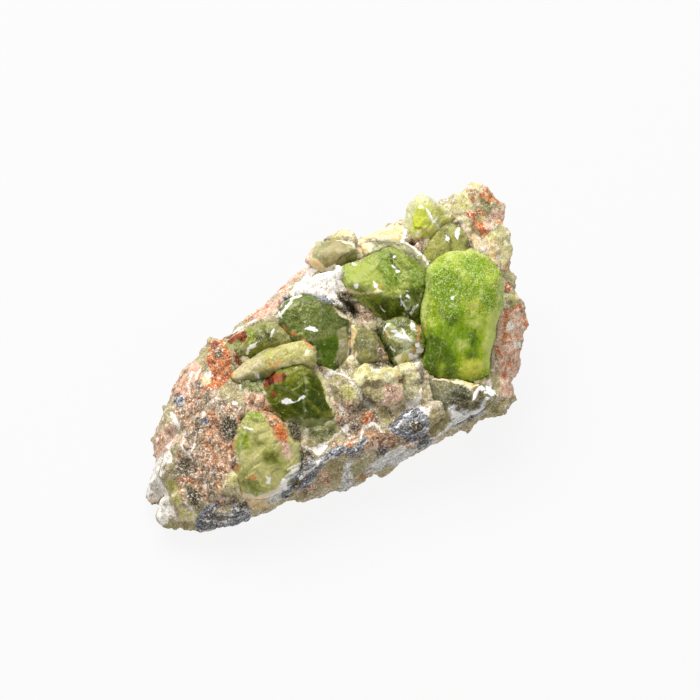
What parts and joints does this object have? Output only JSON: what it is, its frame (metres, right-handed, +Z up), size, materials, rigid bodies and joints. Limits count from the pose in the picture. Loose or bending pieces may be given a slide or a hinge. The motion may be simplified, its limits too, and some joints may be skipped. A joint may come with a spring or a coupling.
{
  "type": "rough peridot specimen",
  "caption": "Rough peridot: an angular lump of brown and grey host rock with blocky green olivine crystals set in its sloping top; lies on a flat underside.",
  "frame": {"origin": "on the surface the stone rests on, below the middle of its bounding box", "axes": "+Z up; +X along the stone's length, toward its high end with the large green crystal; -Y toward the front, where the dark vein runs"},
  "size_m": [0.0634, 0.0344, 0.023],
  "materials": {
    "host_rock": "rough, granular, brown, grey and cream with rust stains",
    "bright_green_olivine": "see-through, glassy with frosted faces",
    "green_olivine": "see-through, glassy with frosted faces",
    "grey_green_olivine": "cloudy, glassy",
    "dark_olivine": "see-through, dark, glassy",
    "lime_olivine": "see-through, glassy",
    "pale_olivine": "cloudy, satin"
  },
  "bodies": {
    "root": {"host_rock": "host_rock", "big_green_crystal": "bright_green_olivine", "shouldered_crystal": "green_olivine", "grey_glassy_crystal": "grey_green_olivine", "lime_crystal": "lime_olivine", "smoky_crystal": "grey_green_olivine", "rear_rounded_crystal": "grey_green_olivine", "dark_slab_crystal": "dark_olivine", "round_glossy_crystal": "dark_olivine", "dark_lower_crystal": "dark_olivine", "pale_ledge_crystal": "pale_olivine", "spotted_crystal": "dark_olivine", "low_light_green_crystal": "green_olivine", "narrow_olive_crystal": "grey_green_olivine", "dark_foot_crystal": "dark_olivine"}
  },
  "joints": []
}
